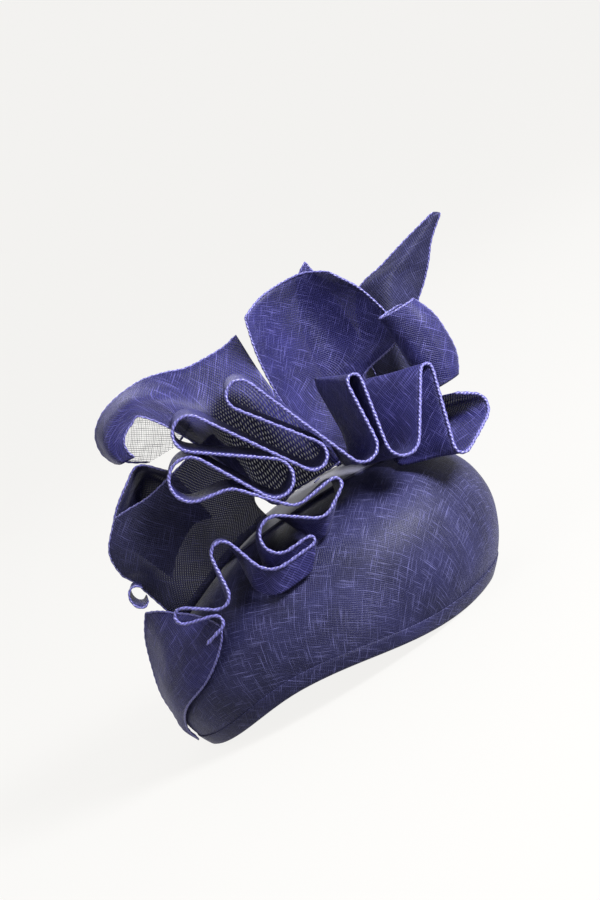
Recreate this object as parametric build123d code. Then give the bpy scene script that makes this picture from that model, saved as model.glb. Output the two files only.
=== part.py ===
# Fascinator headpiece: a blocked straw cloth cap with a fluted ruffle, leaves and loops sewn on top.
# Millimetres. +X is the back of the cap, -X its front tip, -Y the trimmed side, +Z up.
# The origin is the middle of the head opening, at the height of the lowest point of the rim.
from build123d import *
from math import asin, atan2, ceil, cos, degrees, hypot, pi, radians, sin, sqrt
import os

# Cap
cap_half_length = 109.0  # at its widest level, along X
cap_half_width = 85.0  # at the same level, along Y
cap_centre_x = 13.0  # the widest level sits back of the head opening
widest_height = 36.0  # of the widest level, measured along the cap's own axis
upper_height = 56.5  # from the widest level to the top
lower_height = 69.0  # half height of the ellipse that the lower side follows
upper_power = 2.3  # fullness of the top, where 2 is an ellipse
tilt = 8.0  # degrees, back side up

# Layers at the rim, from outside to inside
cap_thickness = 1.2
lining_thickness = 0.8
binding_thickness = 0.7
ribbon_thickness = 1.0
layer_gap = 0.4
binding_width = 9.0
ribbon_width = 25.0
ribbon_height = 1.0  # of its lower edge above the rim's
wire_size = 1.6
stitch_diameter = 0.5
stitch_count = 24
stitch_length = 4.0

# Comb
comb_width = 64.0
comb_spine_diameter = 3.0
comb_height = 17.0  # of the spine above the rim
tooth_count = 16
tooth_length = 32.0
tooth_root_radius = 1.05
tooth_tip_radius = 0.6
tooth_rise = 18.0  # degrees above level, to follow the head
comb_thread = 0.4
thread_clearance = 0.2

# Trim
cloth = 1.0  # two layers of straw cloth, pressed together
ruffle_cloth = 0.8
patch_thickness = 1.2
patch_half_length = 66.0
patch_half_width = 31.0
patch_x = 28.0
patch_y = 3.0
trim_gap = 0.8  # between the patch and the sheets that stand on it
ruffle_reach = 78.0  # how far the lowest flutes stand to the near side
ruffle_span = 150.0  # half length of the plan curve that the flutes follow
ruffle_lean = 0.227  # how much the flutes lean back as they rise
ruffle_depth = 40.0  # from the free edge to the sewn edge
ruffle_end_depth = 20.0  # at the back of the cap
ruffle_tail_depth = 5.0  # at the front
ruffle_soften = 7.0  # length over which the sewn edge evens out the flutes
tack_diameter = 0.9
tack_length = 5.0

# The rim's lower edge arches over the ear on each side
rim_arch = 15.5
arch_x = -28.0
arch_front = 82.0  # from the top of the arch to its front foot
arch_back = 105.0

far = 300.0
os.makedirs("parts", exist_ok=True)
parts = {}


# Cap surface

def cap_profile(offset):
    """Points (radius, height) of the cap's half section, from below the rim to the top."""
    radius = cap_half_length + offset
    points = []
    for i in range(5):
        t = radians(-50 + 10 * i)
        points.append((radius * cos(t), widest_height + (lower_height + offset) * sin(t)))
    for i in range(11):
        t = radians(9 * i)
        bend = 2 / upper_power
        side = max(cos(t), 0.0) ** bend
        points.append((radius * side, widest_height + (upper_height + offset) * sin(t) ** bend))
    return points


def cap_shell(offset, thickness):
    """A shell that follows the cap, its outside moved out by offset."""
    outside = [Vector(r, 0, z) for r, z in cap_profile(offset)]
    inside = [Vector(r, 0, z) for r, z in cap_profile(offset - thickness)]
    outline = [
        Edge.make_spline(outside), Edge.make_line(outside[-1], inside[-1]),
        Edge.make_spline(inside), Edge.make_line(inside[0], outside[0])]
    squeeze = (cap_half_width + offset) / (cap_half_length + offset)
    shell = scale(revolve(Face(Wire(outline)), Axis.Z), by=(1, squeeze, 1))
    return Pos(cap_centre_x, 0, 0) * Rot(0, -tilt, 0) * shell


def rim_at(x):
    """Height of the rim's lower edge."""
    share = (x - arch_x) / (arch_front if x < arch_x else arch_back)
    return rim_arch * cos(min(abs(share), 1.0) * pi / 2) ** 2


def above_rim(low):
    """The space above a surface that is parallel to the rim's lower edge."""
    count = 16
    bottom = Edge.make_spline([
        Vector(x, -far, rim_at(x) + low)
        for x in (cap_half_length * 1.5 * (2 * i / count - 1) for i in range(count + 1))])
    start, end = bottom @ 0, bottom @ 1
    corners = [end, (end.X, -far, far), (start.X, -far, far), start]
    rest = [Edge.make_line(a, b) for a, b in zip(corners, corners[1:])]
    return extrude(Face(Wire([bottom] + rest)), amount=2 * far, dir=(0, 1, 0))


def layer(offset, thickness, low):
    """A shell that follows the cap and starts above the rim's lower edge."""
    return cap_shell(offset, thickness) & above_rim(low)


def outside_cap(x, y, z, offset=0.0):
    """Above 0 outside the cap's surface, below 0 inside it."""
    a = radians(tilt)
    dx = x - cap_centre_x
    along, height = dx * cos(a) + z * sin(a), z * cos(a) - dx * sin(a) - widest_height
    across = y * (cap_half_length + offset) / (cap_half_width + offset)
    radius = hypot(along, across) / (cap_half_length + offset)
    if height > 0:
        return radius ** upper_power + (height / (upper_height + offset)) ** upper_power - 1
    return radius ** 2 + (height / (lower_height + offset)) ** 2 - 1


def find_zero(function, low, high):
    for _ in range(50):
        middle = (low + high) / 2
        if function(middle) > 0:
            high = middle
        else:
            low = middle
    return (low + high) / 2


def cap_height(x, y, offset=0.0):
    """Height of the cap's top side over a point of the plan."""
    return find_zero(lambda z: outside_cap(x, y, z, offset), 0, 2 * upper_height + widest_height)


def around_cap(angle, z, offset=0.0):
    """The cap's side at a height, at an angle from the front, turning towards the near side."""
    dx, dy = -cos(radians(angle)), -sin(radians(angle))
    middle = cap_centre_x
    reach = find_zero(lambda s: outside_cap(middle + s * dx, s * dy, z, offset), 0, far)
    return Vector(middle + reach * dx, reach * dy, z)


def rim_point(angle, height, offset):
    """A point on the cap's side, at a height over the rim's lower edge."""
    place = around_cap(angle, height, offset)
    for _ in range(3):
        place = around_cap(angle, rim_at(place.X) + height, offset)
    return place


def hoop(corners, count=40):
    """A closed strip that follows the rim; corners of its section are (offset, height)."""
    rings = []
    for offset, height in corners:
        points = [rim_point(360 * i / count, height, offset) for i in range(count)]
        rings.append(Edge.make_spline(points, periodic=True))
    pairs = zip(rings, rings[1:] + rings[:1])
    return Solid(Shell([Face.make_surface_from_curves(a, b) for a, b in pairs]))


cap_top = cap_height(cap_centre_x, 0)

# Cap, lining, wire, binding and ribbon
inner_face = -(cap_thickness + layer_gap + lining_thickness)
edge_height = binding_thickness + wire_size + 2 * layer_gap
wall = layer_gap + binding_thickness
parts["crown_outer"] = layer(0, cap_thickness, edge_height)
parts["crown_inner"] = layer(-(cap_thickness + layer_gap), lining_thickness, edge_height)
parts["rim_binding"] = hoop([
    (wall, 0), (wall, binding_width), (layer_gap, binding_width), (layer_gap, binding_thickness),
    (inner_face - layer_gap, binding_thickness), (inner_face - layer_gap, binding_width),
    (inner_face - wall, binding_width), (inner_face - wall, 0)])
wire_side, wire_low = (inner_face + wire_size) / 2, binding_thickness + layer_gap
parts["rim_wire"] = hoop([
    (wire_side, wire_low), (wire_side, wire_low + wire_size),
    (wire_side - wire_size, wire_low + wire_size), (wire_side - wire_size, wire_low)])
ribbon_face = inner_face - wall - layer_gap
ribbon_back = ribbon_face - ribbon_thickness
parts["head_ribbon"] = hoop([
    (ribbon_face, ribbon_height), (ribbon_face, ribbon_height + ribbon_width),
    (ribbon_back, ribbon_height + ribbon_width), (ribbon_back, ribbon_height)])


def ribbon_inside(angle, height, gap):
    """A point in front of the ribbon's inner face, which runs straight from edge to edge."""
    low = rim_point(angle, ribbon_height, ribbon_back - gap)
    high = rim_point(angle, ribbon_height + ribbon_width, ribbon_back - gap)
    return low + (high - low) * ((height - ribbon_height) / ribbon_width)


stitch_gap = layer_gap + stitch_diameter / 2
stitches = []
for i in range(stitch_count):
    angle = 360 * (i + 0.5) / stitch_count
    place = ribbon_inside(angle, ribbon_height + 4, stitch_gap)
    beyond = ribbon_inside(angle + 1, ribbon_height + 4, stitch_gap)
    plane = Plane(place, z_dir=beyond - place)
    middle = Pos(0, 0, -stitch_length / 2)
    stitches.append(plane * middle * Solid.make_cylinder(stitch_diameter / 2, stitch_length))
parts["ribbon_stitches"] = Compound(children=stitches)

# Comb, bent to the ribbon's curve at the front
comb_gap = comb_thread + 3 * thread_clearance + comb_spine_diameter / 2


def comb_point(y):
    """The spine's centre line at a distance to the side."""
    angle = find_zero(lambda a: -ribbon_inside(a, comb_height, comb_gap).Y - y, -80, 80)
    point = ribbon_inside(angle, comb_height, comb_gap)
    return Vector(point.X, point.Y, comb_level)


comb_level = ribbon_inside(0, comb_height, comb_gap).Z
spine_line = Edge.make_spline([comb_point(comb_width * (i / 8 - 0.5)) for i in range(9)])
spine_start = Plane(spine_line @ 0, z_dir=spine_line % 0)
comb = sweep(spine_start * Circle(comb_spine_diameter / 2), path=spine_line)
teeth = []
tooth_direction = Vector(cos(radians(tooth_rise)), 0, sin(radians(tooth_rise)))
for i in range(tooth_count):
    root = spine_line @ ((i + 0.5) / tooth_count)
    plane = Plane(root, z_dir=tooth_direction)
    teeth.append(plane * Solid.make_cone(tooth_root_radius, tooth_tip_radius, tooth_length))
parts["comb"] = comb.fuse(*teeth)
loops = []
loop_radius = comb_spine_diameter / 2 + thread_clearance + comb_thread / 2
for i in range(1, tooth_count, 3):
    t = i / tooth_count
    plane = Plane(spine_line @ t, z_dir=spine_line % t)
    loops.append(plane * Solid.make_torus(loop_radius, comb_thread / 2))
parts["comb_stitches"] = Compound(children=loops)


# Sheets of straw cloth

patch_offset = layer_gap + patch_thickness


def on_patch(x, y):
    """A point just above the patch."""
    return Vector(x, y, cap_height(x, y) + patch_offset + trim_gap)


def over_cap(x, y, height):
    """A point at a height measured from the cap's top."""
    return Vector(x, y, cap_top + height)


def sheet(rows, thickness=cloth):
    """A smooth sheet through rows of points, made into a solid."""
    face = Face.make_surface_from_array_of_points(rows, tol=0.02)
    return Solid.thicken(face, thickness)


def leaf(base, rows):
    """A sheet that stands on the patch: base holds plan points, rows hold points over the cap."""
    net = [[on_patch(*p) for p in base]] if base else []
    net += [[over_cap(*p) for p in row] for row in rows]
    return sheet(net)


# Patch that carries the trim
def patch_point(u, v):
    """A point of the oval patch, for u and v from -1 to 1."""
    x = patch_x + patch_half_length * u * sqrt(1 - v * v / 2)
    y = patch_y + patch_half_width * v * sqrt(1 - u * u / 2)
    return Vector(x, y, cap_height(x, y) + layer_gap)


grid = [-1 + i / 3 for i in range(7)]
parts["trim_base"] = sheet([[patch_point(u, v) for v in grid] for u in grid], patch_thickness)


# Ruffle: the free edge winds round pegs, x, height over the cap's top, radius and turn (1 is left)
pegs = [
    (130, -2, 8, -1), (113.5, -12.5, 5, -1), (118.5, 30.5, 3.5, 1), (87, 9, 9.5, -1),
    (81, 48, 4, 1), (66, 17, 8.5, -1),
    (25, 74, 8, 1), (41, 26.8, 7.8, -1), (-9, 70.5, 9.7, 1), (17, 27.4, 10.4, -1),
    (-21.5, 49.5, 12, 1), (-11, 24.3, 11.5, -1), (23, 19, 10, 1), (43.5, 8, 3.5, -1), (29.5, 6, 9, -1),
    (3, 1.5, 10, 1), (16.5, -10, 2.5, -1), (-3.5, -0.5, 13.4, -1), (-27.5, 7.5, 6.7, 1),
    (-43, -9.5, 7.5, -1), (-64, -10.5, 4.5, 1), (-50, -22, 4, -1),
]
ruffle_start = (124, 12)
ruffle_end = (-62, -30)


def belt(start, pegs, end, step=28, run=9):
    """Points of a tight line from start round each peg to end."""
    stops = [(*start, 0, 1)] + pegs + [(*end, 0, 1)]
    headings = []
    for (x1, z1, r1, s1), (x2, z2, r2, s2) in zip(stops, stops[1:]):
        dx, dz = x2 - x1, z2 - z1
        headings.append(atan2(dz, dx) - asin((s2 * r2 - s1 * r1) / hypot(dx, dz)))
    points = [start]
    for (x, z, r, s), before, after in zip(stops[1:-1], headings, headings[1:]):
        turn = (s * (after - before)) % (2 * pi)
        count = max(2, ceil(degrees(turn) / step))
        arc = []
        for i in range(count + 1):
            a = before + s * turn * i / count
            arc.append((x + s * r * sin(a), z - s * r * cos(a)))
        points += straight(points[-1], arc[0], run) + arc
    return points + straight(points[-1], end, run) + [end]


def straight(a, b, run):
    """Points between a and b, not more than a run apart."""
    count = ceil(hypot(b[0] - a[0], b[1] - a[1]) / run)
    return [(a[0] + (b[0] - a[0]) * i / count, a[1] + (b[1] - a[1]) * i / count)
            for i in range(1, count)]


def smooth(points, reach):
    """Each point becomes the average of the line within reach of it."""
    lengths = [0.0]
    for a, b in zip(points, points[1:]):
        lengths.append(lengths[-1] + hypot(b[0] - a[0], b[1] - a[1]))
    result = []
    for at in lengths:
        total, x, z = 0.0, 0.0, 0.0
        for p, where in zip(points, lengths):
            weight = max(0.0, 1 - abs(where - at) / reach)
            total, x, z = total + weight, x + weight * p[0], z + weight * p[1]
        result.append((x / total, z / total))
    return result


def ruffle_front(x, height):
    """How far to the near side the free edge stands."""
    across = (x - cap_centre_x) / ruffle_span
    return -ruffle_reach * sqrt(1 - across * across) + ruffle_lean * height


def beside(points, distance):
    """The line moved sideways, at right angles to its run as seen from the near side."""
    moved = []
    for i, point in enumerate(points):
        run = points[min(i + 1, len(points) - 1)] - points[max(i - 1, 0)]
        moved.append(point + Vector(-run.Z, 0, run.X).normalized() * distance)
    return moved


def ramp(value, start, end):
    """Rises from 0 at start to 1 at end."""
    return min(max((value - start) / (end - start), 0), 1)


def flute_shift(x, height):
    """How far the sewn edge lies to the back and above the free edge."""
    back = ramp(x, 50, 110)
    low = ramp(height, 20, -5) * ramp(x, -50, -16) * (1 - back)
    return -32 * back - 8 * low, 8 * back - 13 * low


def near_side(x, z):
    """The patch's near side at this height, with room for the ruffle."""
    offset = patch_offset + 2 * cloth
    return -find_zero(lambda reach: outside_cap(x, -reach, z, offset), 0, far)


def make_ruffle():
    free = belt(ruffle_start, pegs, ruffle_end)
    edge, sewn = [], []
    for (x, h), (sx, sh) in zip(free, smooth(free, ruffle_soften)):
        back_end = ramp(x, 88, 118)
        front = ruffle_front(x, h) + 5 * back_end
        depth = ruffle_depth + (ruffle_end_depth - ruffle_depth) * back_end
        depth = ruffle_tail_depth + (depth - ruffle_tail_depth) * ramp(x, -50, -16)
        edge.append(over_cap(x, front, h))
        shift_x, shift_h = flute_shift(x, h)
        bx, bz = sx + shift_x, cap_top + sh + shift_h
        sewn.append(Vector(bx, max(min(front + depth, near_side(bx, bz)), front + 3), bz))
    share = [i / (len(edge) - 1) for i in range(len(edge))]
    half = ruffle_cloth / 2
    rails = [Edge.make_spline(beside(line, side), parameters=share) for line, side in (
        (edge, half), (sewn, half), (sewn, -half), (edge, -half))]
    walls = [Face.make_surface_from_curves(a, b) for a, b in zip(rails, rails[1:] + rails[:1])]
    for end in (0, 1):
        corners = [rail @ end for rail in rails]
        walls.append(Face.make_surface_from_curves(
            Edge.make_line(corners[0], corners[1]), Edge.make_line(corners[3], corners[2])))
    return Solid(Shell(walls))


parts["ruffle_strip"] = make_ruffle()

# Tail of the trim, down the front of the cap
parts["front_leaf"] = leaf(None, [
    [(-84, -22, -6), (-76, -32, -8), (-68, -42, -12), (-60, -52, -16), (-54, -60, -21)],
    [(-92, -16, -19), (-83, -34, -20), (-74, -47, -23), (-63, -60, -26), (-50, -70, -27)],
    [(-98, -10, -36), (-91, -30, -35), (-81, -47, -35), (-71, -58, -36), (-58, -68, -38)],
    [(-102.5, -4, -53), (-98, -24, -50), (-92, -38, -49.5), (-84, -48.5, -49.5), (-73, -59, -50)],
    [(-103, 0, -68), (-102, -10, -66), (-100, -19, -64), (-97, -28, -62.5), (-91, -41, -60)],
    [(-103, 0, -78), (-102.5, -4, -78), (-102, -9, -77), (-100.5, -13, -76), (-99, -18, -74)],
    [(-98.5, -3, -86.5), (-98.5, -5, -86.5), (-98.5, -7, -86.5), (-98, -10, -86), (-97.5, -13, -85)],
])

# Small roll beside it
curl_turns = [radians(30 + 40 * i) for i in range(8)]
parts["small_curl"] = leaf(None, [
    [(-81 + (4.5 + spread) * cos(t), y, 6 + (6 + spread) * sin(t)) for t in curl_turns]
    for y, spread in ((-38, 0.5), (-28, 0), (-18.5, -0.5))
])

# Large petal and the tip behind it
parts["top_leaf"] = leaf(
    [(50, 2), (57, 6), (64, 8), (71, 6), (78, 2)],
    [
        [(45, -4, 24), (54, 4, 24), (64, 7, 24), (73, 4, 25), (82, -1, 26)],
        [(43, -8, 42), (54, 4, 41), (66, 10, 41), (78, 5, 41), (90, -3, 41)],
        [(42, -11, 60), (58, 6, 57), (77, 13, 55), (98, 5, 52), (117, -6, 50)],
        [(44, -13, 83), (60, 3, 83), (80, 11, 83), (98, 4, 82), (114, -5, 79)],
        [(49, -11, 104), (62, -1, 108), (76, 3, 108.5), (90, 1, 107), (102, -5, 101)],
    ])
parts["back_leaf_tip"] = leaf(
    [(72, 24), (77, 23), (82, 23), (87, 24)],
    [
        [(70, 30, 35), (79, 27, 35), (88, 27, 35), (97, 30, 35)],
        [(74, 32, 75), (82, 28, 75), (91, 28, 75), (99, 32, 75)],
        [(86, 28, 104), (89, 26.5, 106), (92, 26, 108), (95, 26, 110)],
    ])

# Roll at the back, open towards the top and the far side
roll_turns = [radians(70 + 33 * i) for i in range(10)]
parts["back_roll"] = leaf(None, [
    [(x + r * cos(t), -21 + 0.7 * r * sin(t), h) for t in roll_turns]
    for x, r, h in ((124, 10, 16), (126, 13, 27), (126.5, 13.5, 39), (126, 13, 52), (123, 11, 65))
])

# Tall pointed leaf that leans back, folded along its middle
parts["spire_leaf"] = leaf(
    [(94, 22), (98, 19), (102, 17), (106, 19), (110, 22)],
    [
        [(96, 23, 33), (104, 17, 33), (112, 12, 33), (120, 16, 32), (127, 21, 31)],
        [(103, 22, 64), (111, 15, 63), (120, 9, 60), (128, 13, 57), (135, 18, 54)],
        [(113, 20, 81), (120, 14, 80), (129, 9, 77), (138, 13, 74), (147, 17, 66)],
        [(131, 18, 86), (135, 14, 85), (141, 10, 83), (147, 12, 80), (155, 15, 75)],
        [(148, 16, 91), (151, 13, 90), (154, 11, 88), (158, 12, 86), (162, 14, 84)],
        [(171, 12, 97), (172, 11.5, 96.4), (173, 11, 95.8), (173.6, 11, 95.2), (174, 11, 94.5)],
    ])

# Band from the petal to the front, and the sheer loop behind it
band_line = [
    (40, 97), (31, 95), (18, 95), (6, 96), (-5, 100), (-17, 103), (-29, 103), (-41, 101),
    (-50, 97), (-57, 90), (-59, 80), (-56, 71),
]
loop_middle = (-28, 70)
band_ring = 0.45  # how far the band reaches over the loop, towards its middle
band_drop = 36  # how much lower the band reaches behind the flutes


def band_point(x, height, share, y):
    """A point on the way from the band's line to the loop's middle, or down where it runs straight."""
    share *= band_ring + (1 - band_ring) * ramp(x, loop_middle[0], 6)
    right = 2 + 12 * ramp(x, 10, 40) * ramp(share, 0.4, 1)
    sideways = share * (loop_middle[0] - x if x < loop_middle[0] else right)
    drop = band_drop * ramp(x, loop_middle[0], 6)
    return x + sideways, y, height + share * (loop_middle[1] - drop - height)


parts["upper_band"] = leaf(None, [
    [band_point(x, height, share, y) for x, height in band_line]
    for share, y in ((0.0, 4), (0.3, -13), (0.65, -16), (1.0, -17))
])
disc_rows = []
for share in (1.0, 0.6, 0.2, -0.2, -0.6, -1.0):
    half = 26 * sqrt(max(1 - share * share, 0.12))
    disc_rows.append([
        (-27 + half * t + 3 * share, 8 + 7 * (1 - t * t) * (1 - share * share), 78 + 17 * share)
        for t in (-1, -0.5, 0, 0.5, 1)])
parts["side_loop"] = leaf(None, disc_rows)

# Fold under the loop, and the broad panel in front of it
parts["lower_loop"] = leaf(None, [
    [(-33, -3, 53), (-45, -3, 64), (-57, -3, 58), (-70, -3, 48), (-80, -3, 36)],
    [(-32, 3, 51), (-44, 3, 61), (-56, 3, 55), (-69, 3, 45), (-78, 3, 32)],
    [(-30, 14, 40), (-42, 16, 49), (-54, 16, 44), (-65, 15, 33), (-73, 14, 20)],
    [(-26, 18, 14), (-36, 20, 16), (-46, 20, 12), (-56, 20, 5), (-64, 18, -4)],
])
parts["under_panel"] = leaf([(-70, -22), (-57, -25), (-42, -24), (-20, -16), (2, -10)], [
    [(-80, -12, 8), (-65, -21, 6), (-48, -20, 7), (-26, -13, 10), (0, -9, 12)],
    [(-85, -10, 18), (-68, -21, 18), (-48, -18, 18), (-24, -11, 20), (4, -9, 22)],
    [(-84, -9, 32), (-69, -18, 33), (-50, -15, 33), (-26, -10, 36), (4, -9, 40)],
    [(-72, -8, 46), (-62, -12, 47), (-48, -11, 47), (-26, -10, 52), (0, -9, 58)],
])

# Thread tacks on the patch, between the sheets
tacks = []
for x, y in ((-20, 12), (-6, 22), (10, 10), (26, 24), (34, -4), (58, 26), (44, 18), (92, 0)):
    spot = on_patch(x, y)
    plane = Plane(spot, z_dir=on_patch(x + 1, y + 1) - spot)
    tacks.append(plane * Solid.make_cylinder(tack_diameter / 2, tack_length))
parts["trim_tacks"] = Compound(children=tacks)

for name, shape in parts.items():
    export_step(shape, f"parts/{name}.step")
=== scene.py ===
import bpy
from math import asin, atan2, ceil, cos, degrees, hypot, pi, radians, sin, sqrt
from mathutils import Matrix, Vector, noise


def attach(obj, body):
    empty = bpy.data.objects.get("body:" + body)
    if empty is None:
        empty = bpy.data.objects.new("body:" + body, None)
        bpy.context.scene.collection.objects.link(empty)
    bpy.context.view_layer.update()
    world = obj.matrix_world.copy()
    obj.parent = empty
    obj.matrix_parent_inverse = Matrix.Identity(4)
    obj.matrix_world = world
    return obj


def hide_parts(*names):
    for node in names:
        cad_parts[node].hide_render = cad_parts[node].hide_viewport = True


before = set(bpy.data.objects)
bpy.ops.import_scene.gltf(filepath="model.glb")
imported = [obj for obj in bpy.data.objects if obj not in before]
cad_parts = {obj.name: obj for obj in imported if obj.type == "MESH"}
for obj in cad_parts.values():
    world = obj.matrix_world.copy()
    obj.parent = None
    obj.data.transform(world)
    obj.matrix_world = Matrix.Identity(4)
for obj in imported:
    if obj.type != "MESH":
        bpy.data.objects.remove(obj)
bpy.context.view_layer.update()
print("frame loaded")

mm = 0.001  # nets below are in millimetres, meshes in metres


# shader nodes: a socket that can be added, multiplied and compared
class Tap:
    def __init__(self, graph, socket):
        self.graph, self.socket = graph, socket

    def maths(self, operation, *others, clamp=False):
        node = self.graph.node("ShaderNodeMath", {"operation": operation, "use_clamp": clamp},
                               dict(enumerate((self, *others))))
        return self.graph.out(node)

    def __add__(self, other):
        return self.maths("ADD", other)

    def __radd__(self, other):
        return self.maths("ADD", other)

    def __mul__(self, other):
        return self.maths("MULTIPLY", other)

    def __rmul__(self, other):
        return self.maths("MULTIPLY", other)

    def __sub__(self, other):
        return self.maths("SUBTRACT", other)

    def __truediv__(self, other):
        return self.maths("DIVIDE", other)

    def __rsub__(self, other):
        node = self.graph.node("ShaderNodeMath", {"operation": "SUBTRACT"}, {0: other, 1: self})
        return self.graph.out(node)

    def clamped(self):
        return self.maths("ADD", 0.0, clamp=True)

    def wave(self):
        return self.maths("PINGPONG", 0.5) * 2.0

    def larger(self, other):
        return self.maths("MAXIMUM", other)


class Graph:
    def __init__(self, name):
        self.material = bpy.data.materials.new(name)
        self.material.use_nodes = True
        self.tree = self.material.node_tree
        self.shader = self.tree.nodes["Principled BSDF"]

    def node(self, kind, settings=None, values=None):
        made = self.tree.nodes.new(kind)
        for key, value in (settings or {}).items():
            setattr(made, key, value)
        for key, value in (values or {}).items():
            self.plug(value, made.inputs[key])
        return made

    def plug(self, value, socket):
        if isinstance(value, Tap):
            self.tree.links.new(value.socket, socket)
        else:
            socket.default_value = value

    def out(self, node, name=0):
        return Tap(self, node.outputs[name])

    def vector(self, x, y, z=0.0):
        return self.out(self.node("ShaderNodeCombineXYZ", values={0: x, 1: y, 2: z}))

    def noise(self, vector, scale, detail=2.0, rough=0.5):
        node = self.node("ShaderNodeTexNoise", values={
            "Vector": vector, "Scale": scale, "Detail": detail, "Roughness": rough})
        return self.out(node, "Fac")

    def blend(self, share, first, second):
        node = self.node("ShaderNodeMix", {"data_type": "RGBA"})
        self.plug(share, node.inputs[0])
        self.plug(first, node.inputs[6])
        self.plug(second, node.inputs[7])
        return Tap(self, node.outputs[2])

    def finish(self, fixed, varied):
        for name, value in {**fixed, **varied}.items():
            self.plug(value, self.shader.inputs[name])
        return self.material

    def bump(self, height, strength, depth):
        node = self.node("ShaderNodeBump", values={
            "Height": height, "Strength": strength, "Distance": depth})
        return self.out(node, "Normal")


def rgb(red, green, blue):
    return (red, green, blue, 1.0)


# open weave on a UV map in metres: threads both ways, slubs, small holes, and painted shade between the
# threads
def strawCloth(name, dark, mid, light, pitch, turn, gap, coverLow, rough, sheen, slub):
    g = Graph(name)
    uv = g.out(g.node("ShaderNodeUVMap", {"uv_map": "cloth"}))
    split = g.node("ShaderNodeSeparateXYZ", values={0: uv})
    u, v = g.out(split, 0) * 1000.0, g.out(split, 1) * 1000.0
    c, s = cos(radians(turn)) / pitch, sin(radians(turn)) / pitch
    waver = g.noise(g.vector(u, v), 0.09, 2.0) * 1.6
    a, b = u * c + v * s + waver, v * c - u * s + waver * 0.7
    # slubs run along each thread, so the noise is stretched along it
    slubA = g.noise(g.vector(a * 1.0, b * 0.06), 1.0, 2.0, 0.6)
    slubB = g.noise(g.vector(a * 0.06, b * 1.0 + 40.0), 1.0, 2.0, 0.6)
    threadA = ((a.wave() - gap * (1.35 - slubA * 0.7)) * 4.0).clamped()
    threadB = ((b.wave() - gap * (1.35 - slubB * 0.7)) * 4.0).clamped()
    cover = threadA.larger(threadB)
    bright = ((slubA.larger(slubB) - 0.56) * 5.0).clamped() * slub
    patchy = g.noise(g.vector(u, v), 0.035, 3.0)
    base = g.blend(((patchy - 0.3) * 2.0).clamped(), rgb(*dark), rgb(*mid))
    raised = (threadA * 0.6 + threadB * 0.4)
    # painted shade in the hollows between threads: the colour darkens where no thread is raised
    base = g.blend((1.0 - raised) * 0.55, base, rgb(*[0.35 * x for x in dark]))
    colour = g.blend(bright * cover, base, rgb(*light))
    return g.finish(
        {"Sheen Weight": sheen, "Sheen Roughness": 0.35, "Sheen Tint": rgb(0.55, 0.55, 1.0),
         "Specular IOR Level": 0.14},
        {"Base Color": colour, "Roughness": rough + patchy * 0.12,
         "Alpha": (cover * (1.0 - coverLow) + coverLow).clamped(),
         "Normal": g.bump(raised + bright * 0.5, 0.55, 0.0004)})


# the rolled fold at an edge, where threads cross at a slant; the stripes are the twist, and the colours it
# is given are lighter than the cloth as a painted highlight along the edge
def twistCloth(name, dark, light):
    g = Graph(name)
    uv = g.out(g.node("ShaderNodeUVMap", {"uv_map": "cloth"}))
    split = g.node("ShaderNodeSeparateXYZ", values={0: uv})
    u, v = g.out(split, 0) * 1000.0, g.out(split, 1) * 1000.0
    strand = (u * 0.32 + v * 0.42).wave()
    fleck = g.noise(g.vector(u * 0.5, v * 0.5), 1.0, 3.0)
    colour = g.blend((strand * 0.7 + fleck * 0.75 - 0.3).clamped(), rgb(*dark), rgb(*light))
    return g.finish(
        {"Sheen Weight": 0.2, "Sheen Roughness": 0.3, "Sheen Tint": rgb(0.6, 0.6, 1.0)},
        {"Base Color": colour, "Roughness": 0.42 + fleck * 0.1,
         "Normal": g.bump(strand, 0.6, 0.0005)})


# cloth seen only inside or under the piece, woven by place
def plainCloth(name, dark, light, pitch, rough=0.7):
    g = Graph(name)
    place = g.out(g.node("ShaderNodeTexCoord"), "Object")
    split = g.node("ShaderNodeSeparateXYZ", values={0: place})
    x, y, z = [g.out(split, i) * (1000.0 / pitch) for i in range(3)]
    cross = ((x + y * 0.6).wave() + (z + y * 0.6).wave()) * 0.5
    cloud = g.noise(place, 90.0, 3.0)
    colour = g.blend((cross * 0.6 + cloud * 0.4).clamped(), rgb(*dark), rgb(*light))
    return g.finish({"Sheen Weight": 0.2}, {
        "Base Color": colour, "Roughness": rough + cloud * 0.1,
        "Normal": g.bump(cross, 0.4, 0.0003)})


def polished(name, dark, light, rough):
    g = Graph(name)
    place = g.out(g.node("ShaderNodeTexCoord"), "Object")
    cloud = g.noise(place, 220.0, 3.0)
    return g.finish({"Metallic": 0.0, "Coat Weight": 0.3}, {
        "Base Color": g.blend(cloud, rgb(*dark), rgb(*light)), "Roughness": rough + cloud * 0.12,
        "Normal": g.bump(cloud, 0.1, 0.0002)})


capWeave = {
    "dark": (0.005, 0.005, 0.022), "mid": (0.014, 0.014, 0.055), "light": (0.09, 0.09, 0.22),
    "pitch": 0.95, "turn": 52, "gap": 0.22, "coverLow": 0.9, "rough": 0.42, "sheen": 0.05, "slub": 0.5,
}
trimWeave = {
    "dark": (0.007, 0.0065, 0.038), "mid": (0.019, 0.018, 0.098), "light": (0.10, 0.095, 0.30),
    "pitch": 1.06, "turn": 45, "gap": 0.34, "coverLow": 0.6, "rough": 0.40, "sheen": 0.08, "slub": 0.5,
}
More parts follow.
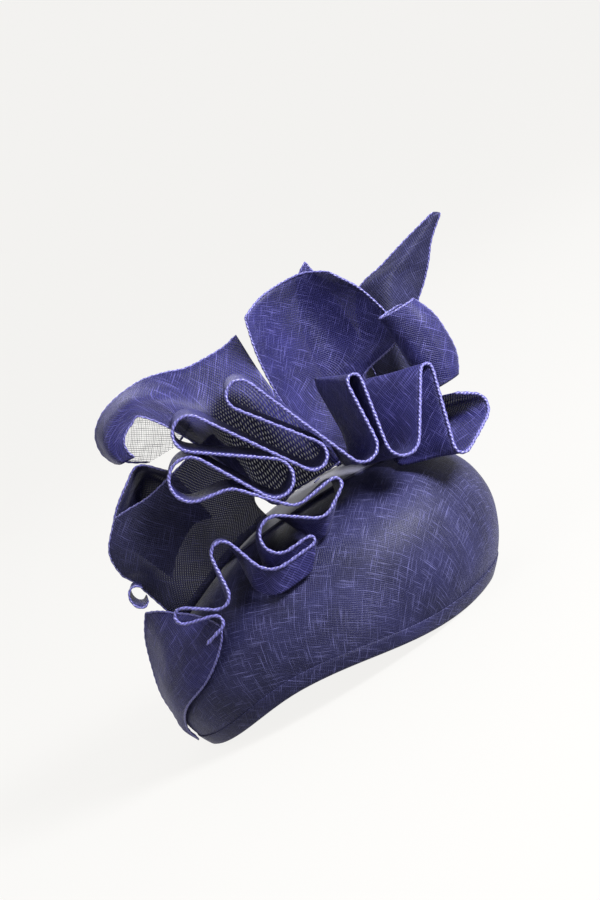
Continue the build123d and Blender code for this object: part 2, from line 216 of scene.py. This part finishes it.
# painted shade: a darker copy of the trim weave for the under panel, lower loop and spire leaf, which are
# trim cloth too
shadedTrimWeave = {
    "dark": (0.006, 0.006, 0.024), "mid": (0.014, 0.014, 0.055), "light": (0.06, 0.06, 0.16),
    "pitch": 1.06, "turn": 45, "gap": 0.30, "coverLow": 0.6, "rough": 0.5, "sheen": 0.1, "slub": 0.5,
}
sheerWeave = {
    "dark": (0.05, 0.055, 0.09), "mid": (0.09, 0.1, 0.15), "light": (0.2, 0.22, 0.3),
    "pitch": 1.06, "turn": 30, "gap": 0.80, "coverLow": 0.0, "rough": 0.6, "sheen": 0.1, "slub": 0.5,
}
capCloth = strawCloth("capCloth", **capWeave)
trimCloth = strawCloth("trimCloth", **trimWeave)
# painted shade: this material is the trim cloth made darker for pieces that sit under or behind others
shadedTrimCloth = strawCloth("shadedTrimCloth", **shadedTrimWeave)
sheerCloth = strawCloth("sheerCloth", **sheerWeave)
# painted highlight: the fold colours are lighter than the trim cloth, standing in for light caught along
# the rolled edges; the twisted stripes are the fold's own
foldClothPaintedHighlight = twistCloth("foldClothPaintedHighlight", (0.016, 0.015, 0.07), (0.085, 0.08, 0.27))
liningCloth = plainCloth("liningCloth", (0.006, 0.006, 0.02), (0.02, 0.02, 0.06), 1.06)
ribbonCloth = plainCloth("ribbonCloth", (0.010, 0.010, 0.024), (0.035, 0.035, 0.07), 1.6, 0.75)
threadCloth = plainCloth("threadCloth", (0.02, 0.02, 0.06), (0.08, 0.08, 0.2), 0.5)
combPlastic = polished("combPlastic", (0.012, 0.011, 0.012), (0.03, 0.028, 0.03), 0.2)
wireCover = polished("wireCover", (0.015, 0.015, 0.04), (0.05, 0.05, 0.1), 0.5)
print("materials made")


# a smooth line through the points, as closely spaced points
def curveThrough(points, perSpan):
    ends = [points[0] * 2 - points[1]] + list(points) + [points[-1] * 2 - points[-2]]
    line = []
    for a, b, c, d in zip(ends, ends[1:], ends[2:], ends[3:]):
        for i in range(perSpan):
            t = i / perSpan
            line.append(0.5 * (2 * b + (c - a) * t + (2 * a - 5 * b + 4 * c - d) * t * t
                               + (3 * b - a - 3 * c + d) * t ** 3))
    return line + [points[-1].copy()]


def denseNet(rows, across=8, along=8):
    rows = [curveThrough([Vector(p) for p in row], across) for row in rows]
    columns = [curveThrough(list(column), along) for column in zip(*rows)]
    return [list(row) for row in zip(*columns)]


def runLengths(points):
    lengths = [0.0]
    for a, b in zip(points, points[1:]):
        lengths.append(lengths[-1] + (b - a).length)
    return lengths


# mean width and length of the net once laid flat, in metres
def flatSize(grid):
    widths = [runLengths(row)[-1] for row in grid]
    heights = [runLengths(column)[-1] for column in zip(*grid)]
    return sum(widths) / len(widths) * mm, sum(heights) / len(heights) * mm


# a sheet from a net of points, with its weave mapped at true size
def clothMesh(name, grid, material, thickness=0.6, node=None, shift=0.0):
    width = len(grid[0])
    mesh = bpy.data.meshes.new(name)
    points = [p * mm for row in grid for p in row]
    faces = [(i * width + j, i * width + j + 1, (i + 1) * width + j + 1, (i + 1) * width + j)
             for i in range(len(grid) - 1) for j in range(width - 1)]
    mesh.from_pydata(points, [], faces)
    middle = runLengths([row[width // 2] for row in grid])
    flat = []
    for row, down in zip(grid, middle):
        run = runLengths(row)
        flat += [((x - run[-1] / 2 + shift) * mm, down * mm) for x in run]
    layer = mesh.uv_layers.new(name="cloth")
    for loop in mesh.loops:
        layer.data[loop.index].uv = flat[loop.vertex_index]
    mesh.polygons.foreach_set("use_smooth", [True] * len(mesh.polygons))
    piece = bpy.data.objects.new(name, mesh)
    bpy.context.collection.objects.link(piece)
    mesh.materials.append(material)
    solid = piece.modifiers.new("thickness", "SOLIDIFY")
    solid.thickness, solid.offset = thickness * mm, 0.0
    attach(piece, "root")
    if node:
        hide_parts(node)
    return piece


# the rolled fold along an edge: an oval section that turns as it runs
def rolledEdge(name, line, material, wide=1.15, narrow=0.75, twist=5.0, slotName="trim_cloth"):
    sides = 8
    lengths = runLengths(line)
    mesh = bpy.data.meshes.new(name)
    points, flat = [], []
    normal = None
    for i, (place, run) in enumerate(zip(line, lengths)):
        heading = (line[min(i + 1, len(line) - 1)] - line[max(i - 1, 0)]).normalized()
        if normal is None:
            normal = heading.orthogonal()
        normal = (normal - heading * normal.dot(heading)).normalized()
        other = heading.cross(normal)
        taper = min(1.0, 0.45 + run / 4, 0.45 + (lengths[-1] - run) / 4)
        kink = 1 + 0.16 * noise.noise(Vector((run * 0.11, 3.1, 0)))
        for k in range(sides + 1):
            t = 2 * pi * k / sides
            turned = t - 2 * pi * run / twist / 2
            reach = taper * kink * (wide * narrow) / hypot(narrow * cos(turned), wide * sin(turned))
            points.append((place + (normal * cos(t) + other * sin(t)) * reach) * mm)
            flat.append((t * mm, run * mm))
    ring = sides + 1
    faces = [(i * ring + k, i * ring + k + 1, (i + 1) * ring + k + 1, (i + 1) * ring + k)
             for i in range(len(line) - 1) for k in range(sides)]
    faces += [tuple(range(sides - 1, -1, -1)), tuple((len(line) - 1) * ring + k for k in range(sides))]
    mesh.from_pydata(points, [], faces)
    layer = mesh.uv_layers.new(name="cloth")
    for loop in mesh.loops:
        layer.data[loop.index].uv = flat[loop.vertex_index]
    mesh.polygons.foreach_set("use_smooth", [True] * len(mesh.polygons))
    piece = bpy.data.objects.new(name, mesh)
    bpy.context.collection.objects.link(piece)
    mesh.materials.append(material)
    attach(piece, "root")
    return piece


# the line with points at even distances
def evenLine(points, step=1.0):
    lengths = runLengths(points)
    count = max(2, int(lengths[-1] / step))
    line, k = [], 0
    for i in range(count + 1):
        at = lengths[-1] * i / count
        while k < len(points) - 2 and lengths[k + 1] < at:
            k += 1
        span = lengths[k + 1] - lengths[k]
        line.append(points[k].lerp(points[k + 1], (at - lengths[k]) / span if span else 0.0))
    return line


# the cap's surface
cap = {
    "halfLength": 109.0, "halfWidth": 85.0, "centre": 13.0, "widest": 36.0, "upper": 56.5,
    "lower": 69.0, "power": 2.3, "tilt": radians(8.0), "rimArch": 15.5, "archX": -28.0,
    "archFront": 82.0, "archBack": 105.0, "edge": 3.1, "turns": 160, "levels": 56,
}


def rimAt(x):
    share = (x - cap["archX"]) / (cap["archFront"] if x < cap["archX"] else cap["archBack"])
    return cap["rimArch"] * cos(min(abs(share), 1.0) * pi / 2) ** 2


# radius and height on the cap's own axis, t from -1 under the widest level to 1 at the top
def capSection(t, offset=0.0):
    radius = cap["halfLength"] + offset
    if t < 0:
        return radius * cos(t), cap["widest"] + (cap["lower"] + offset) * sin(t)
    bend = 2 / cap["power"]
    return (radius * max(cos(t), 0) ** bend,
            cap["widest"] + (cap["upper"] + offset) * sin(t) ** bend)


def capPoint(turn, t, offset=0.0):
    r, h = capSection(t, offset)
    squeeze = (cap["halfWidth"] + offset) / (cap["halfLength"] + offset)
    c, s = cos(cap["tilt"]), sin(cap["tilt"])
    return Vector((cap["centre"] + r * cos(turn) * c - h * s, squeeze * r * sin(turn),
                   r * cos(turn) * s + h * c))


def findZero(function, low, high):
    for _ in range(40):
        middle = (low + high) / 2
        if function(middle) > 0:
            high = middle
        else:
            low = middle
    return (low + high) / 2


def outsideCap(x, y, z, offset=0.0):
    c, s = cos(cap["tilt"]), sin(cap["tilt"])
    dx = x - cap["centre"]
    along, height = dx * c + z * s, z * c - dx * s - cap["widest"]
    across = y * (cap["halfLength"] + offset) / (cap["halfWidth"] + offset)
    radius = hypot(along, across) / (cap["halfLength"] + offset)
    if height > 0:
        return radius ** cap["power"] + (height / (cap["upper"] + offset)) ** cap["power"] - 1
    return radius ** 2 + (height / (cap["lower"] + offset)) ** 2 - 1


# height of the cap's top side over a point of the plan
def capHeight(x, y):
    return findZero(lambda z: outsideCap(x, y, z), 0, 150)


def ramp(value, start, end):
    return min(max((value - start) / (end - start), 0), 1)


capTop = capHeight(cap["centre"], 0)


def makeCap():
    turns, levels = cap["turns"], cap["levels"]
    rows = []
    for j in range(turns + 1):
        turn = 2 * pi * j / turns

        def belowRim(t):
            p = capPoint(turn, t)
            return p.z - rimAt(p.x) - cap["edge"]
        start = findZero(belowRim, -0.9, 0.4)
        rows.append([capPoint(turn, start + (pi / 2 - start) * (i / levels))
                     for i in range(levels + 1)])
    mesh = bpy.data.meshes.new("capShell")
    points, flat, faces = [], [], []
    for j in range(turns):
        lengths = runLengths(rows[j])
        for p, run in zip(rows[j][:-1], lengths):
            # small unevenness of blocked straw
            lift = 0.35 * noise.noise(p * 0.035) + 0.12 * noise.noise(p * 0.12)
            away = (p - Vector((10, 0, 40))).normalized()
            points.append((p + away * lift) * mm)
            reach = lengths[-1] - run
            flat.append((reach * cos(2 * pi * j / turns) * mm, reach * sin(2 * pi * j / turns) * mm))
    top = len(points)
    points.append(rows[0][-1] * mm)
    flat.append((0.0, 0.0))
    for j in range(turns):
        here, after = j * levels, ((j + 1) % turns) * levels
        for i in range(levels - 1):
            faces.append((here + i, after + i, after + i + 1, here + i + 1))
        faces.append((here + levels - 1, after + levels - 1, top))
    mesh.from_pydata(points, [], faces)
    layer = mesh.uv_layers.new(name="cloth")
    for loop in mesh.loops:
        layer.data[loop.index].uv = flat[loop.vertex_index]
    mesh.polygons.foreach_set("use_smooth", [True] * len(mesh.polygons))
    mesh.materials.append(capCloth)
    piece = bpy.data.objects.new("capShell", mesh)
    bpy.context.collection.objects.link(piece)
    solid = piece.modifiers.new("thickness", "SOLIDIFY")
    solid.thickness, solid.offset = 1.0 * mm, -1.0
    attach(piece, "root")
    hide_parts("crown_outer")
    return piece


makeCap()
print("cap made")

# the bias strip that wraps the rim
binding = {"width": 9.0, "out": 0.45, "inside": -3.9, "turns": 200}


def rimPlace(turn, height, offset):
    def above(t):
        p = capPoint(turn, t, offset)
        return p.z - rimAt(p.x) - height
    return capPoint(turn, findZero(above, -0.95, 0.6), offset)


def makeBinding():
    out, inside, width = binding["out"], binding["inside"], binding["width"]
    section = [(width, out - 0.25), (width - 0.4, out), (width * 0.6, out), (width * 0.3, out),
               (0.9, out), (0.3, out - 0.5), (0.05, out - 1.3), (0.05, inside + 1.3),
               (0.3, inside + 0.5), (0.9, inside), (width * 0.5, inside), (width, inside)]
    grid = []
    for i in range(binding["turns"] + 1):
        turn = 2 * pi * (i % binding["turns"]) / binding["turns"]
        grid.append([rimPlace(turn, height, offset) for height, offset in section])
    piece = clothMesh("rimBinding", grid, capCloth, 0.3, "rim_binding")
    around = runLengths([row[0] for row in grid])[-1] * mm


makeBinding()
print("binding made")


# leaves, bands and panels, heights measured from the cap's top
patch = {"gap": 0.4, "thick": 1.2, "leafGap": 0.8}
patchLift = patch["gap"] + patch["thick"] + patch["leafGap"]


def onPatch(x, y):
    return Vector((x, y, capHeight(x, y) + patchLift))


def overCap(x, y, height):
    return Vector((x, y, capTop + height))


leafUsual = {
    "base": None, "cloth": trimCloth, "folds": ("left", "right", "top"), "held": "folded",
    "slot": "trim_cloth", "across": 8, "along": 8, "thick": 0.6, "crinkle": 0.5, "crinklePitch": 0.09,
    "foldWide": 0.75, "foldThick": 0.5, "seam": 1.12,
}


def leaf(name, node, changes):
    leafIs = {**leafUsual, **changes}
    net = [[onPatch(*p) for p in leafIs["base"]]] if leafIs["base"] else []
    net += [[overCap(*p) for p in row] for row in leafIs["rows"]]
    grid = denseNet(net, leafIs["across"], leafIs["along"])
    for row in grid:
        for p in row:
            p.y += leafIs["crinkle"] * noise.noise(p * leafIs["crinklePitch"])
    piece = clothMesh(name, grid, leafIs["cloth"], leafIs["thick"], node,
                      shift=len(name) * 3.7)
    edges = {"left": [row[0] for row in grid], "right": [row[-1] for row in grid],
             "top": grid[-1], "bottom": grid[0]}
    beads = [rolledEdge(name + side.capitalize() + "Fold", evenLine(edges[side]), foldClothPaintedHighlight,
                        leafIs["foldWide"], leafIs["foldThick"]) for side in leafIs["folds"]]
    area = sum(polygon.area for polygon in piece.data.polygons)
    width, length = flatSize(grid)
    size = (width * leafIs["seam"], length * leafIs["seam"])
    min(area, size[0] * size[1])


leaf("frontLeaf", "front_leaf", {"rows": [
    [(-84, -22, -6), (-76, -32, -8), (-68, -42, -12), (-60, -52, -16), (-54, -60, -21)],
    [(-92, -16, -19), (-83, -34, -20), (-74, -47, -23), (-63, -60, -26), (-50, -70, -27)],
    [(-98, -10, -36), (-91, -30, -35), (-81, -47, -35), (-71, -58, -36), (-58, -68, -38)],
    [(-102.5, -4, -53), (-98, -24, -50), (-92, -38, -49.5), (-84, -48.5, -49.5), (-73, -59, -50)],
    [(-103, 0, -68), (-102, -10, -66), (-100, -19, -64), (-97, -28, -62.5), (-91, -41, -60)],
    [(-103, 0, -78), (-102.5, -4, -78), (-102, -9, -77), (-100.5, -13, -76), (-99, -18, -74)],
    [(-98.5, -3, -86.5), (-98.5, -5, -86.5), (-98.5, -7, -86.5), (-98, -10, -86), (-97.5, -13, -85)],
], "folds": ("left", "right", "bottom")})

curlTurns = [radians(30 + 40 * i) for i in range(8)]
leaf("smallCurl", "small_curl", {"rows": [
    [(-81 + (4.5 + spread) * cos(t), y, 6 + (6 + spread) * sin(t)) for t in curlTurns]
    for y, spread in ((-38, 0.5), (-28, 0), (-18.5, -0.5))
], "folds": ("bottom",)})

leaf("topLeaf", "top_leaf", {"base": [(50, 2), (57, 6), (64, 8), (71, 6), (78, 2)], "rows": [
    [(45, -4, 24), (54, 4, 24), (64, 7, 24), (73, 4, 25), (82, -1, 26)],
    [(43, -8, 42), (54, 4, 41), (66, 10, 41), (78, 5, 41), (90, -3, 41)],
    [(42, -11, 60), (58, 6, 57), (77, 13, 55), (98, 5, 52), (117, -6, 50)],
    [(44, -13, 83), (60, 3, 83), (80, 11, 83), (98, 4, 82), (114, -5, 79)],
    [(49, -11, 104), (62, -1, 108), (76, 3, 108.5), (90, 1, 107), (102, -5, 101)],
]})

leaf("backLeafTip", "back_leaf_tip", {"base": [(72, 24), (77, 23), (82, 23), (87, 24)], "rows": [
    [(70, 30, 35), (79, 27, 35), (88, 27, 35), (97, 30, 35)],
    [(74, 32, 75), (82, 28, 75), (91, 28, 75), (99, 32, 75)],
    [(86, 28, 104), (89, 26.5, 106), (92, 26, 108), (95, 26, 110)],
]})

rollTurns = [radians(70 + 33 * i) for i in range(10)]
leaf("backRoll", "back_roll", {"rows": [
    [(x + r * cos(t), -21 + 0.7 * r * sin(t), h) for t in rollTurns]
    for x, r, h in ((124, 10, 16), (126, 13, 27), (126.5, 13.5, 39), (126, 13, 52), (123, 11, 65))
]})

leaf("spireLeaf", "spire_leaf", {"base": [(94, 22), (98, 19), (102, 17), (106, 19), (110, 22)], "rows": [
    [(96, 23, 33), (104, 17, 33), (112, 12, 33), (120, 16, 32), (127, 21, 31)],
    [(103, 22, 64), (111, 15, 63), (120, 9, 60), (128, 13, 57), (135, 18, 54)],
    [(113, 20, 81), (120, 14, 80), (129, 9, 77), (138, 13, 74), (147, 17, 66)],
    [(131, 18, 86), (135, 14, 85), (141, 10, 83), (147, 12, 80), (155, 15, 75)],
    [(148, 16, 91), (151, 13, 90), (154, 11, 88), (158, 12, 86), (162, 14, 84)],
    [(171, 12, 97), (172, 11.5, 96.4), (173, 11, 95.8), (173.6, 11, 95.2), (174, 11, 94.5)],
], "cloth": shadedTrimCloth, "folds": ("left", "right")})

bandLine = [
    (40, 97), (31, 95), (18, 95), (6, 96), (-5, 100), (-17, 103), (-29, 103), (-41, 101),
    (-50, 97), (-57, 90), (-59, 80), (-56, 71),
]
loopMiddle = (-28, 70)
band = {"ring": 0.45, "spread": 12, "drop": 62}  # share over the loop, widening and fall behind the flutes


def bandPoint(x, height, share, y):
    share *= band["ring"] + (1 - band["ring"]) * ramp(x, loopMiddle[0], 6)
    right = 2 + band["spread"] * ramp(x, 10, 40) * ramp(share, 0.4, 1)
    sideways = share * (loopMiddle[0] - x if x < loopMiddle[0] else right)
    drop = band["drop"] * ramp(x, loopMiddle[0], 6)
    return x + sideways, y, height + share * (loopMiddle[1] - drop - height)


leaf("upperBand", "upper_band", {"rows": [
    [bandPoint(x, height, share, y) for x, height in bandLine]
    for share, y in ((0.0, 4), (0.3, -13), (0.65, -16), (1.0, -17))
], "folds": ("bottom", "top"), "across": 5})

discRows = []
for share in (1.0, 0.6, 0.2, -0.2, -0.6, -1.0):
    half = 26 * sqrt(max(1 - share * share, 0.12))
    discRows.append([
        (-27 + half * t + 3 * share, 8 + 7 * (1 - t * t) * (1 - share * share), 78 + 17 * share)
        for t in (-1, -0.5, 0, 0.5, 1)])
leaf("sideLoop", "side_loop", {
    "rows": discRows, "cloth": sheerCloth, "folds": ("left", "right"), "held": "stretched",
    "slot": "sheer_cloth",
})

leaf("lowerLoop", "lower_loop", {"rows": [
    [(-33, -3, 53), (-45, -3, 64), (-57, -3, 58), (-70, -3, 48), (-80, -3, 36)],
    [(-32, 3, 51), (-44, 3, 61), (-56, 3, 55), (-69, 3, 45), (-78, 3, 32)],
    [(-30, 14, 40), (-42, 16, 49), (-54, 16, 44), (-65, 15, 33), (-73, 14, 20)],
    [(-26, 18, 14), (-36, 20, 16), (-46, 20, 12), (-56, 20, 5), (-64, 18, -4)],
], "cloth": shadedTrimCloth, "folds": ("bottom",)})

leaf("underPanel", "under_panel", {
    "base": [(-70, -22), (-57, -25), (-42, -24), (-20, -16), (2, -10)], "rows": [
    [(-80, -12, 8), (-65, -21, 6), (-48, -20, 7), (-26, -13, 10), (0, -9, 12)],
    [(-85, -10, 18), (-68, -21, 18), (-48, -18, 18), (-24, -11, 20), (4, -9, 22)],
    [(-84, -9, 32), (-69, -18, 33), (-50, -15, 33), (-26, -10, 36), (4, -9, 40)],
    [(-72, -8, 46), (-62, -12, 47), (-48, -11, 47), (-26, -10, 52), (0, -9, 58)],
], "cloth": shadedTrimCloth, "folds": ("left", "top")})
print("leaves made")


# ruffle: the free edge winds round pegs, x, height over the cap's top, radius, turn
ruffle = {
    "reach": 78.0, "span": 150.0, "lean": 0.227, "depth": 40.0, "endDepth": 20.0, "tailDepth": 5.0,
    "overCap": 3.6, "levels": 12, "thick": 0.6, "belly": 2.2, "fold": (1.1, 0.75, 6.0),
    "start": (124, 12), "end": (-62, -30),
    "pegs": [
        (130, -2, 8, -1), (113.5, -12.5, 5, -1), (118.5, 30.5, 3.5, 1), (87, 9, 9.5, -1),
        (81, 48, 4, 1), (66, 17, 8.5, -1), (25, 74, 8, 1), (41, 26.8, 7.8, -1), (-9, 70.5, 9.7, 1),
        (17, 27.4, 10.4, -1), (-21.5, 49.5, 12, 1), (-11, 24.3, 11.5, -1), (23, 19, 10, 1),
        (43.5, 8, 3.5, -1), (29.5, 6, 9, -1), (3, 1.5, 10, 1), (16.5, -10, 2.5, -1),
        (-3.5, -0.5, 13.4, -1), (-27.5, 7.5, 6.7, 1), (-43, -9.5, 7.5, -1),
        (-64, -10.5, 4.5, 1), (-50, -22, 4, -1),
    ],
}


# points of a tight line from start round each peg to end
def belt(start, pegs, end, step=10):
    stops = [(*start, 0, 1)] + pegs + [(*end, 0, 1)]
    headings = []
    for (x1, z1, r1, s1), (x2, z2, r2, s2) in zip(stops, stops[1:]):
        dx, dz = x2 - x1, z2 - z1
        headings.append(atan2(dz, dx) - asin((s2 * r2 - s1 * r1) / hypot(dx, dz)))
    points = [Vector((start[0], 0, start[1]))]
    for (x, z, r, s), before, after in zip(stops[1:-1], headings, headings[1:]):
        turn = (s * (after - before)) % (2 * pi)
        count = max(3, ceil(degrees(turn) / step))
        for i in range(count + 1):
            a = before + s * turn * i / count
            points.append(Vector((x + s * r * sin(a), 0, z - s * r * cos(a))))
    return points + [Vector((end[0], 0, end[1]))]


# each point of an even line becomes the average of its neighbours
def softened(points, reach, step):
    window = int(reach / step)
    result = []
    for i in range(len(points)):
        total, place = 0.0, Vector((0, 0, 0))
        for k in range(max(0, i - window), min(len(points), i + window + 1)):
            weight = 1 - abs(k - i) / (window + 1)
            total, place = total + weight, place + points[k] * weight
        result.append(place / total)
    return result


# how far the sewn edge lies to the back and above the free edge
def ruffleShift(x, height):
    back = ramp(x, 50, 110)
    low = ramp(height, 20, -5) * ramp(x, -50, -16) * (1 - back)
    return -32 * back - 8 * low, 8 * back - 13 * low


def makeRuffle():
    step = 1.5
    line = evenLine(belt(ruffle["start"], ruffle["pegs"], ruffle["end"]), step)
    free, soft = softened(line, 3, step), softened(line, 7, step)
    grid, levels = [], ruffle["levels"]
    for i, (edge, low) in enumerate(zip(free, soft)):
        backEnd = ramp(edge.x, 88, 118)
        across = (edge.x - cap["centre"]) / ruffle["span"]
        front = -ruffle["reach"] * sqrt(1 - across * across) + ruffle["lean"] * edge.z + 5 * backEnd
        depth = ruffle["depth"] + (ruffle["endDepth"] - ruffle["depth"]) * backEnd
        depth = ruffle["tailDepth"] + (depth - ruffle["tailDepth"]) * ramp(edge.x, -50, -16)
        shiftX, shiftZ = ruffleShift(edge.x, edge.z)
        sewnX, sewnZ = low.x + shiftX, capTop + low.z + shiftZ
        near = -findZero(lambda reach: outsideCap(sewnX, -reach, sewnZ, ruffle["overCap"]), 0, 300)
        sewn = Vector((sewnX, max(min(front + depth, near), front + 3), sewnZ))
        top = Vector((edge.x, front, capTop + edge.z))
        ahead, behind = free[min(i + 1, len(free) - 1)], free[max(i - 1, 0)]
        side = Vector((-(ahead - behind).z, 0, (ahead - behind).x)).normalized()
        row = []
        for k in range(levels + 1):
            t = k / levels
            p = top.lerp(sewn, t)
            belly = ruffle["belly"] * sin(pi * t) * noise.noise(Vector((i * 0.035, t * 1.2, 5)))
            row.append(p + side * belly)
        grid.append(row)
    piece = clothMesh("ruffleStrip", grid, trimCloth, ruffle["thick"], "ruffle_strip")
    bead = rolledEdge("ruffleFold", [row[0] for row in grid], foldClothPaintedHighlight, *ruffle["fold"])
    area = sum(polygon.area for polygon in piece.data.polygons)
    length, width = runLengths([row[0] for row in grid])[-1] * mm, flatSize(grid)[0]
    min(area, width * length)


makeRuffle()
print("ruffle made")

# carried-over CAD pieces
finishes = {
    "crown_inner": liningCloth, "rim_wire": wireCover,
    "head_ribbon": ribbonCloth, "ribbon_stitches": threadCloth, "comb": combPlastic,
    "comb_stitches": threadCloth, "trim_base": liningCloth, "trim_tacks": threadCloth,
}
for node, finish in finishes.items():
    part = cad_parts[node]
    part.data.materials.clear()
    part.data.materials.append(finish)

# stage, lights and camera
stage = {
    "shade": (0.896, 0.888, 0.871), "lens": 100.0, "distance": 1.377, "rise": 8.0, "roll": 31.67,
    "aim": (0.0366, -0.030, 0.1206),
}
floorMesh = bpy.data.meshes.new("floor")
floorMesh.from_pydata([(-30, -30, 0), (30, -30, 0), (30, 30, 0), (-30, 30, 0)], [], [(0, 1, 2, 3)])
floor = bpy.data.objects.new("floor", floorMesh)
bpy.context.collection.objects.link(floor)
g = Graph("floorPaint")
floorMesh.materials.append(g.finish(
    {"Base Color": rgb(0.03, 0.03, 0.03), "Roughness": 1.0, "Specular IOR Level": 0.0,
     "Emission Color": rgb(*[0.97 * c for c in stage["shade"]]), "Emission Strength": 1.0}, {}))

world = bpy.data.worlds.new("studio")
bpy.context.scene.world = world
world.use_nodes = True
world.node_tree.nodes["Background"].inputs[0].default_value = rgb(*stage["shade"])
world.node_tree.nodes["Background"].inputs[1].default_value = 1.0

for name, place, size, power in (
        ("keyLight", (1.05, -0.8, 0.85), 0.5, 105), ("fillLight", (-0.9, -0.9, 1.1), 1.0, 9),
        ("backLight", (0.2, 1.1, 1.0), 0.9, 9)):
    lamp = bpy.data.lights.new(name, "AREA")
    lamp.size, lamp.energy = size, power
    light = bpy.data.objects.new(name, lamp)
    bpy.context.collection.objects.link(light)
    light.location = place
    facing = Vector((0.03, -0.02, 0.09)) - Vector(place)
    light.rotation_euler = facing.to_track_quat("-Z", "Y").to_euler()

camera = bpy.data.objects.new("camera", bpy.data.cameras.new("camera"))
bpy.context.collection.objects.link(camera)
bpy.context.scene.camera = camera
camera.data.lens, camera.data.sensor_width = stage["lens"], 36.0
camera.data.clip_start, camera.data.clip_end = 0.05, 100
rise, roll = radians(stage["rise"]), radians(stage["roll"])
forward = Vector((0, cos(rise), -sin(rise)))
levelUp, right = Vector((0, sin(rise), cos(rise))), Vector((1, 0, 0))
up = levelUp * cos(roll) + right * sin(roll)
side = forward.cross(up)
turn = Matrix((side, up, -forward)).transposed()
camera.matrix_world = (Matrix.Translation(Vector(stage["aim"]) - forward * stage["distance"])
                       @ turn.to_4x4())
scene = bpy.context.scene
scene.view_settings.view_transform = "Standard"
scene.cycles.transparent_max_bounces = 40
print("stage ready")
